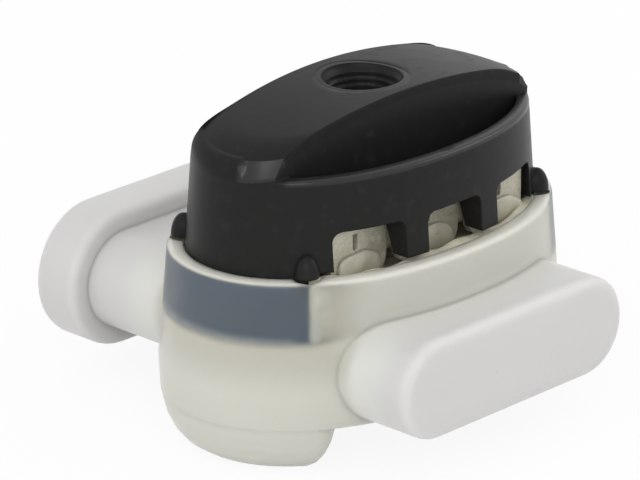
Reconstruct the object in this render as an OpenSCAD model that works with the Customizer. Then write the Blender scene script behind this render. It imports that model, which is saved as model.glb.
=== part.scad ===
// Three-wire splice connector: a translucent body, a push-in cap and a gel-filled contact.
// Millimetres, z up. The feet stand on z = 0 and the wires go in along y, from the +y side.

/* [Body oval] */
// Half length of the rim, outside
rim_a = 15.3; // [14.6:0.1:17]
// Half width of the rim, outside
rim_b = 9.85; // [9.6:0.05:11]
// Fullness of the oval plan, where 2 is an ellipse
fullness = 2.14; // [2.1:0.02:2.4]
// Height of the rim above the surface
rim_z = 13.5; // [12.8:0.1:15]
// Wall of the body at the rim
body_wall = 1.1; // [0.95:0.05:1.2]
// Height of the parting line
parting_z = 5.7; // [5:0.1:8]
// How far the wall stands out at the parting line
parting_out = 0.6; // [0.3:0.05:1]
// How far the wall draws in again at the underside
belly_in = 0.1; // [0.05:0.05:0.3]
// Height of the underside between the feet
underside_z = 3.4; // [3:0.1:4]
// Floor under the wires
floor_t = 1.15; // [0.8:0.05:1.3]
// Rounding of the rim
rim_round = 0.3; // [0.1:0.05:0.45]
// Rounding of the underside's edge
underside_round = 0.1; // [0.05:0.05:0.3]

/* [Feet] */
// Distance from the centre to the inner side of a foot
foot_x = 9.2; // [8.8:0.1:9.6]
// How far a foot draws in towards its bottom
foot_round = 2.5; // [1.8:0.1:2.8]
// Rounding of a foot's upright corners
foot_corner = 1.8; // [1.6:0.1:2.6]
// How far a foot is set in from the wall above
foot_set = 0.03; // [0.02:0.01:0.1]
// Floor of a foot
foot_floor = 1.4; // [1.2:0.1:1.6]
// Wall of a foot, round the well that takes a tongue
foot_wall = 1.2; // [1:0.05:1.4]

/* [Wire ports] */
// Diameter of a port
port_d = 4.3; // [3.9:0.1:4.6]
// Diameter of the blind pocket that takes a wire's end
pocket_d = 4; // [3.8:0.1:4]
// Distance between neighbouring ports
port_pitch = 7.05; // [6.8:0.05:7.2]
// Wall over and under a port
port_wall = 1.3; // [1.15:0.05:1.6]
// Wall beside an outer port
port_side_wall = 1.62; // [1.35:0.01:1.9]
// Diameter of a port's mouth
mouth_d = 5.6; // [4.8:0.1:6]
// Depth of the funnel behind the mouth
mouth_depth = 1.2; // [0.6:0.1:2]
// Distance from the oval's centre to the hood
hood_from = 15.39; // [14.5:0.1:16.5]
// Length of the hood
hood_len = 3.69; // [2.5:0.1:5]
// How far the hood stands out from the neck
hood_step = 1.42; // [0.8:0.02:1.6]
// Distance from the oval's centre to the closed end
back_reach = 13.93; // [12.5:0.1:16]
// Wall that closes the blind end
end_wall = 1.2; // [0.8:0.1:1.6]
// Rounding of the closed end's edge
back_round = 0.5; // [0.2:0.1:1]
// Rounding of the hood's edges
hood_round = 0.45; // [0.2:0.05:0.7]

/* [Cap] */
// Push-in travel of the cap, which ends flush with the rim
travel = 6.5; // [6:0.1:6.8]
// Gap between the cap and the body's wall
cap_gap = 0.13; // [0.08:0.01:0.2]
// Draft of the cap's wall above the rim, in degrees
cap_draft = 3.8; // [1:0.2:5]
// Rise of the crown above the lip
crown_rise = 3.26; // [2.8:0.02:3.8]
// Radius of the crown along the cap
crown_r = 35; // [34:1:60]
// Width of the bevel between the crown and the end wall
bevel_w = 0.75; // [0.6:0.05:1.2]
// Depth of that bevel
bevel_depth = 0.8; // [0.5:0.05:1]
// Half width of the band at the middle
band_middle = 4.05; // [3.8:0.05:4.4]
// How much narrower the band is on each side at its ends
band_taper = 0.3; // [0:0.05:0.6]
// Width of the lip round the finger pockets
lip_w = 0.85; // [0.6:0.05:1.1]
// Rounding of the lip
lip_round = 0.25; // [0.1:0.05:0.4]
// Depth of the finger pockets below the lip
pocket_depth = 2.2; // [1.6:0.1:2.6]
// Thickness of the ceiling under the pockets
ceiling_t = 1.2; // [0.9:0.05:1.4]
// Shell of the hollow band
band_t = 1.3; // [0.9:0.1:1.6]
// Wall of the tongues
tongue_t = 1.3; // [1:0.1:1.6]
// Wall of the skirt beside the tongues
skirt_t = 1.8; // [1.5:0.05:2]
// Distance from the centre to the side of a tongue
tongue_x = 11.1; // [10.9:0.05:11.6]
// Gap under a tongue when the cap is home
tongue_gap = 0.3; // [0.2:0.1:1]
// Chamfer round a tongue's tip
tongue_lead = 0.3; // [0.2:0.05:0.4]
// Gap between a tongue's side and its well
tongue_side_gap = 0.3; // [0.15:0.05:0.4]
// Gap under a tongue's shoulders when the cap is home
shoulder_gap = 0.3; // [0.2:0.05:0.6]
// Height of the skirt's edge above the rim
skirt_lift = 0.2; // [0.1:0.05:0.5]

/* [Notches] */
// Width of a notch in the skirt
notch_w = 5.2; // [4.8:0.1:5.3]
// Rounding of a notch's upper corners
notch_round = 0.7; // [0.3:0.1:1]
// Wall left between a notch and the ceiling
notch_head = 0.25; // [0.15:0.05:0.6]
// How much thicker the skirt is behind the notches' heads than at its edge
leg_taper = 0.9; // [0:0.1:1]

/* [Stop nubs] */
// Distance of a nub from the middle, along the cap
nub_x = 11.2; // [10.8:0.1:11.6]
// Width of a nub
nub_w = 1.66; // [1.2:0.02:2]
// How far a nub stands out
nub_out = 1; // [0.8:0.02:1.04]
// Height of a nub
nub_h = 1.5; // [1.2:0.05:2]
// Height of a nub's underside above the rim
nub_lift = 0.15; // [0.04:0.01:0.2]
// Room round a nub in its groove
nub_gap = 0.08; // [0.05:0.01:0.1]

/* [Test port] */
// Diameter of the test port
test_d = 3.4; // [3:0.1:3.6]
// Diameter of its countersunk rim
dish_d = 5.5; // [5.3:0.1:6]
// Depth of the countersink
dish_depth = 0.55; // [0.4:0.05:0.8]
// Wall of the tube round the test port
test_wall = 1; // [0.8:0.05:1.2]
// Width of a stepped ring in the test port
ring_w = 0.24; // [0.15:0.01:0.28]
// Height of a stepped ring
ring_h = 0.4; // [0.3:0.05:0.6]

/* [Contact] */
// Thickness of the contact strip
strip_t = 0.5; // [0.4:0.05:0.7]
// Distance from the middle to the outer face of a fork row
row_y = 5.95; // [5.7:0.05:6]
// Inside radius of the folds
fold_r = 0.5; // [0.3:0.05:0.8]
// Gap between neighbouring forks
fork_gap = 1.05; // [0.8:0.05:1.6]
// Width of an outer fork on its outer side, from the wire's middle
fork_side = 2.3; // [2:0.05:2.4]
// Rounding of the forks' tips
fork_round = 1.3; // [0.8:0.1:1.5]
// Gap between the forks and the chamber's floor when the cap is home
fork_floor_gap = 1.05; // [0.8:0.05:1.4]
// Height of the forks' web below the ceiling
web_drop = 1.6; // [1.4:0.1:2]
// Width of the slot that cuts into a wire
cut_slot = 0.5; // [0.4:0.05:0.7]
// Length of the slot that cuts into a wire
cut_len = 1.6; // [1.5:0.05:1.7]
// Width of the lead-in at the tip
lead_w = 2; // [1.4:0.1:2.4]
// Height of the lead-in at the tip
lead_h = 0.75; // [0.5:0.05:0.9]
// Width of the relief slot above
relief_slot = 0.45; // [0.4:0.05:0.8]
// Metal between the two slots
slot_bridge = 0.65; // [0.5:0.05:0.8]
// Metal left over the relief slot, below the ceiling
relief_head = 1.1; // [1:0.05:1.3]
// Gap between the contact and the cap's walls
strip_gap = 0.1; // [0.05:0.01:0.15]
// Diameter of the pegs that hold the contact
peg_d = 1.6; // [1.2:0.1:2]
// Distance between the pegs
peg_span = 7.4; // [7.2:0.1:8]
// How far the pegs stand below the contact's web
peg_proud = 0.5; // [0.3:0.1:0.8]
// Gap round a peg
peg_gap = 0.05; // [0.03:0.01:0.1]

/* [Gel] */
// How far the gel stays above the forks' tips
gel_lift = 0.3; // [0.1:0.05:0.6]
// Gap between the gel and the ends of the contact
gel_end = 0.4; // [0.2:0.05:0.8]
// Draft of the gel towards its free face
gel_waist = 0.35; // [0.1:0.05:0.6]

/* [Hidden] */
oval_steps = 120;
arc_steps = 20;
corner_steps = 8;
// The angle at which a foot's round corner runs into its outer side
corner_turn = 75;
spare = 1;
$fn = 64;

port_r = port_d / 2;
port_z = underside_z + port_wall + port_r;
port_xs = [-port_pitch, 0, port_pitch];
wing_r = port_r + port_wall;
wing_half = port_pitch + port_side_wall - port_wall;
hood_r = wing_r + hood_step;
hood_to = hood_from + hood_len;
oval_y = (back_reach - hood_to) / 2;

inner_a = rim_a - body_wall;
inner_b = rim_b - body_wall;
chamber_z = underside_z + floor_t;
foot_top = underside_z + floor_t / 2;
well_x = tongue_x - tongue_side_gap;

cap_a = inner_a - cap_gap;
cap_b = inner_b - cap_gap;
lip_z = rim_z + travel;
lip_in = tan(cap_draft) * travel;
lip_a = cap_a - lip_in;
lip_b = cap_b - lip_in;
crown_z = lip_z + crown_rise;
pocket_z = lip_z - pocket_depth;
ceiling_z = pocket_z - ceiling_t;
skirt_z = rim_z + skirt_lift;
tongue_z = foot_floor + tongue_gap + travel;
shoulder_z = chamber_z + shoulder_gap + travel;
notch_z = ceiling_z - notch_head;
nub_z = rim_z + nub_lift;
nub_root = cap_gap + body_wall / 2;
nub_y = half_width(nub_x, cap_a, cap_b);
nub_turn = atan2(pow(nub_y / cap_b, fullness - 1) / cap_b,
    pow(nub_x / cap_a, fullness - 1) / cap_a);

room_x = port_pitch + fork_side + strip_gap;
room_y = row_y + strip_gap;
fork_z = chamber_z + fork_floor_gap + travel;
strip_x = port_pitch + fork_side;
cut_top = fork_z + cut_len;
relief_z = cut_top + slot_bridge;
dish_r = dish_d / 2;
test_r = test_d / 2;

// Points of the oval plan, from the equation |x/a|^n + |y/b|^n = 1
function oval(a, b) = [for (i = [0:oval_steps - 1]) let (t = 360 * i / oval_steps)
    [a * sign(cos(t)) * pow(abs(cos(t)), 2 / fullness), b * sign(sin(t)) * pow(abs(sin(t)), 2 / fullness)]];

// Points of the oval's end beyond a distance x from its middle
function oval_end(a, b, x) = let (reach = acos(pow(x / a, fullness / 2)))
    [for (i = [-arc_steps:arc_steps]) let (t = reach * i / arc_steps)
        [a * pow(cos(t), 2 / fullness), b * sign(t) * pow(abs(sin(t)), 2 / fullness)]];

// Half width of an oval at a distance x from its middle
function half_width(x, a, b) = b * pow(1 - pow(abs(x) / a, fullness), 1 / fullness);

// Points of an arc about c, from angle u to angle v
function arc(c, r, u, v, steps) =
    [for (i = [0:steps]) let (t = u + (v - u) * i / steps) c + r * [cos(t), sin(t)]];

// A bar with round ends, half is the half length of its straight part
function stadium(half, r) =
    concat(arc([half, 0], r, -90, 90, arc_steps), arc([-half, 0], r, 90, 270, arc_steps));

// The band's plan, which narrows towards both ends
function band_plan(inset, reach) = concat(
    [for (i = [0:corner_steps * 2]) let (x = reach * (i / corner_steps - 1)) [x, -band_half(x) + inset]],
    [for (i = [0:corner_steps * 2]) let (x = reach * (1 - i / corner_steps)) [x, band_half(x) - inset]]);
function band_half(x) = band_middle - band_taper * pow(x / cap_a, 2);

// Height of the crown at x, and the crown seen from the side, lowered by drop
function crown_at(x) = crown_z - x * x / (2 * crown_r);
function crown_profile(drop, low) = concat([[-cap_a, low], [cap_a, low]],
    [for (i = [0:oval_steps / 2]) let (x = cap_a * (1 - 4 * i / oval_steps)) [x, crown_at(x) - drop]]);

// A ring of points at a height z, under the crown, or at a depth y with its outline's y as the height
function level(points, z) = [for (p = points) [p.x, p.y, z]];
function crowned(points, drop) = [for (p = points) [p.x, p.y, crown_at(p.x) - drop]];
function upended(points, y) = [for (p = points) [p.x, y, p.y + port_z]];

// A closed skin over rings of equal length, which run anticlockwise towards the viewer.
// The faces of its top may be given, for a top that isn't flat.
module loft(rings, top = undef) {
    n = len(rings[0]);
    last = (len(rings) - 1) * n;
    sides = [for (k = [0:n:last - n], i = [0:n - 1]) let (a = k + i, b = k + (i + 1) % n)
        each [[a, a + n, b + n], [a, b + n, b]]];
    lid = is_undef(top) ? [[for (i = [n - 1:-1:0]) i]] : top;
    polyhedron(points = [for (ring = rings) each ring],
        faces = concat([[for (i = [0:n - 1]) i]], sides, [for (face = lid) [for (i = face) last + i]]));
}

module centred() { translate([0, oval_y, 0]) children(); }
module upright(low, high) { translate([0, 0, low]) linear_extrude(high - low) children(); }
module along_x(low, high) { translate([low, 0, 0]) rotate([90, 0, 90]) linear_extrude(high - low) children(); }
module along_y(low, high) { translate([0, high, 0]) rotate([90, 0, 0]) linear_extrude(high - low) children(); }
module both_ends() { for (turn = [0, 180]) rotate([0, 0, turn]) children(); }

// A port's block: a round-ended bar whose end edges are rounded
module soft_bar(low, high, r, edge) {
    loft(concat(
        [for (t = [90:-30:0])
            upended(stadium(wing_half, r - edge * (1 - cos(t))), high - edge * (1 - sin(t)))],
        [for (t = [0:30:90])
            upended(stadium(wing_half, r - edge * (1 - cos(t))), low + edge * (1 - sin(t)))]));
}

// The four places of the nubs, with x pointing out of the cap's wall
module at_nubs() {
    for (mx = [0, 1], my = [0, 1]) mirror([mx, 0, 0]) mirror([0, my, 0])
        translate([nub_x, nub_y, 0]) rotate([0, 0, nub_turn]) children();
}

module nub_plan(grow) {
    w = nub_w / 2 + grow;
    tip = nub_out + grow - w;
    polygon(concat([[-nub_root, w], [-nub_root, -w]], arc([tip, 0], w, -90, 90, arc_steps)));
}

// Body

function rim_oval(out) = oval(rim_a + out, rim_b + out);

module bowl() {
    belly_out = parting_out - belly_in;
    loft(concat(
        [for (t = [90:-30:0]) level(rim_oval(belly_out - underside_round * (1 - cos(t))),
            underside_z + underside_round * (1 - sin(t)))],
        [level(rim_oval(parting_out), parting_z)],
        [for (t = [0:30:90]) level(rim_oval(-rim_round * (1 - cos(t))), rim_z - rim_round * (1 - sin(t)))]));
}

// A foot's plan: the oval's end, cut off across with round corners
function foot_plan(inset) = let (
    a = rim_a + parting_out - belly_in - foot_set - inset,
    b = rim_b + parting_out - belly_in - foot_set - inset,
    r = max(foot_corner - inset, foot_corner / corner_steps),
    x = foot_x + foot_corner,
    y = half_width(x, a - r, b - r)
) concat(oval_end(a, b, x + r / 2), arc([x, y], r, corner_turn, 180, corner_steps),
    arc([x, -y], r, 180, 360 - corner_turn, corner_steps));

module foot() {
    loft([for (t = [0:15:90]) level(foot_plan(foot_round * (1 - sin(t))), foot_top * (1 - cos(t)))]);
}

module body_outside() {
    bowl();
    both_ends() foot();
    soft_bar(-back_reach, 0, wing_r, back_round);
    along_y(0, hood_from + hood_len / 2) translate([0, port_z]) polygon(stadium(wing_half, wing_r));
    soft_bar(hood_from, hood_to, hood_r, hood_round);
}

module chamber() {
    upright(chamber_z, rim_z + spare) polygon(oval(inner_a, inner_b));
    both_ends() intersection() {
        upright(foot_floor, chamber_z + spare) polygon(oval(inner_a, inner_b));
        upright(0, rim_z) polygon(foot_plan(foot_wall));
        translate([well_x, -rim_b, 0]) cube([rim_a, rim_b * 2, rim_z]);
    }
}

module port() {
    translate([0, 0, port_z]) rotate([-90, 0, 0]) {
        translate([0, 0, end_wall - back_reach]) cylinder(d = pocket_d, h = back_reach - end_wall);
        cylinder(r = port_r, h = hood_to + spare);
        translate([0, 0, hood_to - mouth_depth])
            cylinder(r1 = port_r, r2 = mouth_d / 2, h = mouth_depth);
    }
}

module nub_grooves() {
    at_nubs() upright(nub_z - travel - nub_gap, rim_z + spare) nub_plan(nub_gap);
}

module body() {
    color("#e8e9df") centred() difference() {
        body_outside();
        chamber();
        for (x = port_xs) translate([x, 0, 0]) port();
        nub_grooves();
    }
}

// Cap

function cap_oval(inset) = oval(cap_a - inset, cap_b - inset);

module cap_wall() {
    loft(concat(
        [level(cap_oval(tongue_lead), tongue_z), level(cap_oval(0), tongue_z + 2 * tongue_lead)],
        [level(cap_oval(0), rim_z)],
        [for (t = [0:30:90])
            level(cap_oval(lip_in + lip_round * (1 - cos(t))), lip_z - lip_round * (1 - sin(t)))]));
}

// The crown's whole block, bevelled where it meets the end walls. Its top runs straight across
// the cap, in strips between the oval's points on one side and those on the other.
module crown() {
    half = oval_steps / 2;
    strips = [for (i = [1:half - 2]) [oval_steps - i, oval_steps - i - 1, i + 1, i]];
    loft([level(cap_oval(lip_in), pocket_z), crowned(cap_oval(lip_in), bevel_depth),
        crowned(cap_oval(lip_in + bevel_w), 0)],
        top = concat([[oval_steps - 1, 1, 0]], strips, [[half + 1, half, half - 1]]));
}

module band() {
    intersection() {
        crown();
        upright(ceiling_z, crown_z) polygon(band_plan(0, cap_a));
    }
}

module pockets() {
    difference() {
        upright(pocket_z, crown_z + spare) polygon(oval(lip_a - lip_w, lip_b - lip_w));
        upright(ceiling_z, crown_z + 2 * spare) polygon(band_plan(0, cap_a));
    }
}

// The hollow inside the band, with the test port's tube standing in it
module band_hollow() {
    difference() {
        intersection() {
            upright(notch_z, crown_z) polygon(band_plan(band_t, room_x - band_t));
            along_y(-cap_b, cap_b) polygon(crown_profile(band_t, notch_z));
        }
        cylinder(r = test_r + test_wall + ring_w, h = crown_z);
        for (side = [-1, 1]) translate([side * peg_span / 2, 0, 0])
            cylinder(d = peg_d + 2 * test_wall, h = pocket_z);
    }
}

module contact_room() {
    edge_y = room_y + leg_taper;
    along_x(-room_x, room_x) polygon([[-edge_y, tongue_z], [edge_y, tongue_z], [edge_y, skirt_z],
        [room_y, notch_z], [room_y, ceiling_z], [-room_y, ceiling_z], [-room_y, notch_z],
        [-edge_y, skirt_z]]);
    both_ends() intersection() {
        upright(tongue_z - spare, ceiling_z) polygon(oval(cap_a - tongue_t, cap_b - skirt_t));
        translate([room_x - spare, -row_y, 0]) cube([cap_a, 2 * row_y, crown_z]);
    }
}

module skirt_cut() {
    translate([-tongue_x, -cap_b - spare, 0]) cube([2 * tongue_x, 2 * (cap_b + spare), skirt_z]);
}

// What is cut off beside a tongue's lower end, so that it goes down into the foot's well
module tongue_shoulders() {
    both_ends() difference() {
        translate([tongue_x - spare, -cap_b - spare, tongue_z - spare])
            cube([cap_a, 2 * (cap_b + spare), shoulder_z - tongue_z + spare]);
        upright(tongue_z - 2 * spare, shoulder_z + spare) polygon(foot_plan(foot_wall + tongue_side_gap));
    }
}

module notch() {
    w = notch_w / 2;
    along_y(-cap_b - spare, cap_b + spare) polygon(concat([[-w, skirt_z - spare], [w, skirt_z - spare]],
        arc([w - notch_round, notch_z - notch_round], notch_round, 0, 90, corner_steps),
        arc([notch_round - w, notch_z - notch_round], notch_round, 90, 180, corner_steps)));
}

module test_port() {
    step_r = test_r + 3 * ring_w;
    step_z = crown_z - dish_depth;
    cylinder(r = test_r, h = crown_z + spare);
    rotate_extrude() polygon([[0, crown_z + spare], [dish_r, crown_z + spare],
        [dish_r, crown_z - dish_depth / 4], [step_r, step_z], [step_r, step_z - ring_h],
        [step_r - ring_w, step_z - ring_h],
        [step_r - ring_w, step_z - 2 * ring_h], [step_r - 2 * ring_w, step_z - 2 * ring_h],
        [step_r - 2 * ring_w, step_z - 3 * ring_h], [0, step_z - 3 * ring_h]]);
}

// A nub: a dome on a flat bottom, drawn out towards the wall
module nub() {
    side = [for (i = [0:corner_steps]) let (t = 90 * i / corner_steps)
        [nub_w / 2 * cos(t), nub_z + nub_h * sin(t)]];
    tip = nub_out - nub_w / 2;
    translate([tip, 0, 0]) rotate_extrude() polygon(concat([[0, nub_z]], side));
    along_x(-nub_root, tip) for (turn = [0, 1]) mirror([turn, 0]) polygon(concat([[0, nub_z]], side));
}

module pegs(grow, low) {
    for (side = [-1, 1]) translate([side * peg_span / 2, 0, low])
        cylinder(d = peg_d + 2 * grow, h = ceiling_z + ceiling_t / 2 - low);
}

module cap() {
    color("#232325") centred() {
        difference() {
            union() {
                cap_wall();
                band();
                at_nubs() nub();
            }
            pockets();
            band_hollow();
            contact_room();
            skirt_cut();
            tongue_shoulders();
            for (x = port_xs) translate([x, 0, 0]) notch();
            test_port();
        }
        pegs(0, ceiling_z - strip_t - peg_proud);
    }
}

// Contact

// The strip seen from its end: a web over two upright rows, folded on a radius
module strip_profile() {
    outer_r = fold_r + strip_t;
    polygon(concat([[row_y, fork_z]],
        arc([row_y - outer_r, ceiling_z - outer_r], outer_r, 0, 90, corner_steps),
        arc([outer_r - row_y, ceiling_z - outer_r], outer_r, 90, 180, corner_steps),
        [[-row_y, fork_z], [strip_t - row_y, fork_z]],
        arc([outer_r - row_y, ceiling_z - outer_r], fold_r, 180, 90, corner_steps),
        arc([row_y - outer_r, ceiling_z - outer_r], fold_r, 90, 0, corner_steps),
        [[row_y - strip_t, fork_z]]));
}

// One fork seen along the wire, reaching left and right of the wire's middle
module fork_shape(left, right) {
    polygon(concat([[right, ceiling_z - web_drop + strip_t], [-left, ceiling_z - web_drop + strip_t]],
        arc([fork_round - left, fork_z + fork_round], fork_round, 180, 270, corner_steps),
        arc([right - fork_round, fork_z + fork_round], fork_round, 270, 360, corner_steps)));
}

module fork_slots() {
    polygon([[-lead_w / 2, fork_z], [-cut_slot / 2, fork_z + lead_h], [-cut_slot / 2, cut_top],
        [cut_slot / 2, cut_top], [cut_slot / 2, fork_z + lead_h], [lead_w / 2, fork_z]]);
    polygon(concat([[relief_slot / 2, ceiling_z - relief_head], [-relief_slot / 2, ceiling_z - relief_head]],
        arc([0, relief_z + relief_slot / 2], relief_slot / 2, 180, 360, corner_steps)));
}

module contact_element() {
    middle = (port_pitch - fork_gap) / 2;
    color("#b9ae86") centred() difference() {
        intersection() {
            along_x(-strip_x, strip_x) strip_profile();
            union() {
                for (x = port_xs) translate([x, 0, 0]) along_y(-row_y - spare, row_y + spare)
                    fork_shape(x < 0 ? fork_side : middle, x > 0 ? fork_side : middle);
                translate([-strip_x, -row_y - spare, ceiling_z - web_drop])
                    cube([2 * strip_x, 2 * (row_y + spare), web_drop + spare]);
            }
        }
        for (x = port_xs) translate([x, 0, 0]) along_y(-row_y - spare, row_y + spare) fork_slots();
        pegs(peg_gap, fork_z);
    }
}

// Gel

module sealing_gel() {
    web_z = ceiling_z - strip_t;
    side = row_y - strip_t;
    low = fork_z + gel_lift;
    color("#cfc99a") centred() difference() {
        along_x(gel_end - strip_x, strip_x - gel_end) polygon([[-side, low + gel_waist],
            [gel_waist - side, low], [side - gel_waist, low], [side, low + gel_waist],
            [side, web_z - fold_r], [side - fold_r, web_z], [fold_r - side, web_z],
            [-side, web_z - fold_r]]);
        pegs(peg_gap, web_z - peg_proud - peg_gap);
    }
}

body();
cap();
contact_element();
sealing_gel();
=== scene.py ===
"""Looks of a three-wire splice connector: a frosted body, a black push-in cap and a contact in gel.

Lengths in the classes are millimetres. The meshes are metres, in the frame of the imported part.
A Span goes from one value to another. A step over it is 0 at the first and 1 at the second, and
the first may be the larger one.
"""

import logging
import math
from dataclasses import dataclass, field
from enum import Enum

import bpy
import numpy as np
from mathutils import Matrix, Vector

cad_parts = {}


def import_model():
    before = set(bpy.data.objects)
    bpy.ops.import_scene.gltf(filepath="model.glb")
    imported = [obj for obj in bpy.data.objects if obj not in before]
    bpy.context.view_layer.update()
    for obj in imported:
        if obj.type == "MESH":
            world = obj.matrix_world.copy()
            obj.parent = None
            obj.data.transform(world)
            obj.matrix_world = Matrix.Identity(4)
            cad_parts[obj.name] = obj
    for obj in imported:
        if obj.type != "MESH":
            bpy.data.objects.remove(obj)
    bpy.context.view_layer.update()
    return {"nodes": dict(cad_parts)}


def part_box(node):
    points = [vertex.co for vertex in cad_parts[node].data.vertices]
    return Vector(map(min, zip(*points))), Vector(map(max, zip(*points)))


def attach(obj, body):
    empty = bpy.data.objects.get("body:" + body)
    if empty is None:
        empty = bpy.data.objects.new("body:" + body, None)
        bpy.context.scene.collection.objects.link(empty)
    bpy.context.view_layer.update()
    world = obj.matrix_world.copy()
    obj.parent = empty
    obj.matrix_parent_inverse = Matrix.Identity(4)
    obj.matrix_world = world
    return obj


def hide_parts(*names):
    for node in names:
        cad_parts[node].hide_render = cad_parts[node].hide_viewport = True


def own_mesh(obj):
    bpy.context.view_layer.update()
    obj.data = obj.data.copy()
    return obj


log = logging.getLogger("splice_connector")

MM = 0.001
# What keeps a division away from zero.
TINY = 1e-6

Triple = tuple[float, float, float]
Colour = Triple
Span = tuple[float, float]
# The plan and the heights of a ring of points.
Ring = tuple[np.ndarray, np.ndarray]


class Slot(Enum):
    """The record's material slots."""

    FROSTED = "frosted_plastic"
    BLACK = "black_plastic"
    TINNED = "tinned_brass"
    GEL = "gel"


class Carrier(Enum):
    """The two bodies of the connector."""

    HOUSING = "housing"
    CAP = "press_cap"


class Signal:
    """A value in a shader's node tree, so that shader maths reads as an expression."""

    def __init__(self, graph: "Graph", node: bpy.types.Node, socket: bpy.types.NodeSocket) -> None:
        """Wrap one output.

        Args:
            graph: the tree that the node stands in.
            node: the node that makes the value.
            socket: the output that carries it.
        """
        self.graph = graph
        self.node = node
        self.socket = socket

    def out(self, name: str) -> "Signal":
        """Another output of the same node, by name."""
        return Signal(self.graph, self.node, self.node.outputs[name])

    def maths(self, operation: str, *others: "Signal | float") -> "Signal":
        """One Math node on this value and up to two others."""
        sockets = dict(enumerate((self, *others)))
        return self.graph.add("ShaderNodeMath", {"operation": operation}, sockets)

    def __add__(self, other: "Signal | float") -> "Signal":
        """The sum."""
        return self.maths("ADD", other)

    __radd__ = __add__

    def __sub__(self, other: "Signal | float") -> "Signal":
        """The difference."""
        return self.maths("SUBTRACT", other)

    def __rsub__(self, other: float) -> "Signal":
        """A number minus this value."""
        return (self * -1.0).maths("ADD", other)

    def __mul__(self, other: "Signal | float") -> "Signal":
        """The product."""
        return self.maths("MULTIPLY", other)

    __rmul__ = __mul__

    def __truediv__(self, other: "Signal | float") -> "Signal":
        """The quotient."""
        return self.maths("DIVIDE", other)

    def __pow__(self, other: "Signal | float") -> "Signal":
        """This value to a power."""
        return self.maths("POWER", other)

    def __abs__(self) -> "Signal":
        """The size without its sign."""
        return self.maths("ABSOLUTE")

    def larger(self, other: "Signal | float") -> "Signal":
        """The larger of the two."""
        return self.maths("MAXIMUM", other)

    def step(self, low: float, high: float) -> "Signal":
        """A smooth step.

        Args:
            low: the value at which it is 0.
            high: the value at which it is 1, which may be the smaller one.

        Returns:
            3 t^2 - 2 t^3 with t the share of the way from low to high.
        """
        return self.graph.add(
            "ShaderNodeMapRange",
            {"interpolation_type": "SMOOTHSTEP"},
            {"Value": self, "From Min": low, "From Max": high},
        )

    def about(self, middle: float, fade: float) -> "Signal":
        """A smooth step centred on a value, which falls where the fade is negative."""
        return self.step(middle - fade, middle + fade)


class Graph:
    """A node tree under construction."""

    def __init__(self, tree: bpy.types.NodeTree) -> None:
        """Start from an empty tree."""
        self.tree = tree
        tree.nodes.clear()

    def add(self, kind: str, settings: dict | None = None, sockets: dict | None = None) -> Signal:
        """Put in one node.

        Args:
            kind: the node's type.
            settings: its own settings, set first.
            sockets: inputs by name or number, each a Signal, a number or a Triple.

        Returns:
            The node's first output.
        """
        node = self.tree.nodes.new(kind)
        for name, value in (settings or {}).items():
            setattr(node, name, value)
        for key, value in (sockets or {}).items():
            socket = node.inputs[key]
            if isinstance(value, Signal):
                self.tree.links.new(value.socket, socket)
            else:
                socket.default_value = (*value, 1.0) if socket.type == "RGBA" else value
        enabled = [output for output in node.outputs if output.enabled]
        return Signal(self, node, enabled[0] if enabled else None)

    def mix(self, factor: Signal | float, low: Signal | Colour, high: Signal | Colour) -> Signal:
        """A colour or a vector between two, the first where the factor is 0."""
        # The colours go by number, because a Mix node has several inputs of the same name.
        return self.add("ShaderNodeMix", {"data_type": "RGBA"}, {0: factor, 6: low, 7: high})

    def principled(self, sockets: dict) -> Signal:
        """A Principled shader with these inputs."""
        return self.add("ShaderNodeBsdfPrincipled", None, sockets)

    def blend(self, factor: Signal, low: Signal, high: Signal) -> Signal:
        """A shader between two, the first where the factor is 0."""
        return self.add("ShaderNodeMixShader", None, {0: factor, 1: low, 2: high})


@dataclass(frozen=True)
class Oval:
    """The full oval |x / a|^n + |y / b|^n = 1, with n its fullness and y from the cap's middle."""

    a: float
    b: float
    fullness: float = 2.14

    def level(self, x: Signal | np.ndarray, y: Signal | np.ndarray) -> Signal | np.ndarray:
        """The formula's left side, which is below 1 inside the oval."""
        return abs(x / self.a) ** self.fullness + abs(y / self.b) ** self.fullness

    def x_at(self, y: np.ndarray | float) -> np.ndarray | float:
        """The oval's positive x at a y."""
        return self.a * (1 - (abs(y) / self.b) ** self.fullness) ** (1 / self.fullness)

    def inset(self, by: float) -> "Oval":
        """The oval with both its half lengths made smaller."""
        return Oval(self.a - by, self.b - by, self.fullness)


# The oval of the cap's wall at the crown, and how far in from it the crown's facets reach.
CAP_WALL = Oval(13.64, 8.19)
FACET_W = 0.6


def middle_y() -> float:
    """The y of the ovals' middle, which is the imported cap's, in millimetres to three places."""
    low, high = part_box("cap")
    return round((low[1] + high[1]) / (2 * MM), 3)


def grey(value: float) -> Colour:
    """An even grey, or white for 1."""
    return value, value, value


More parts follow.
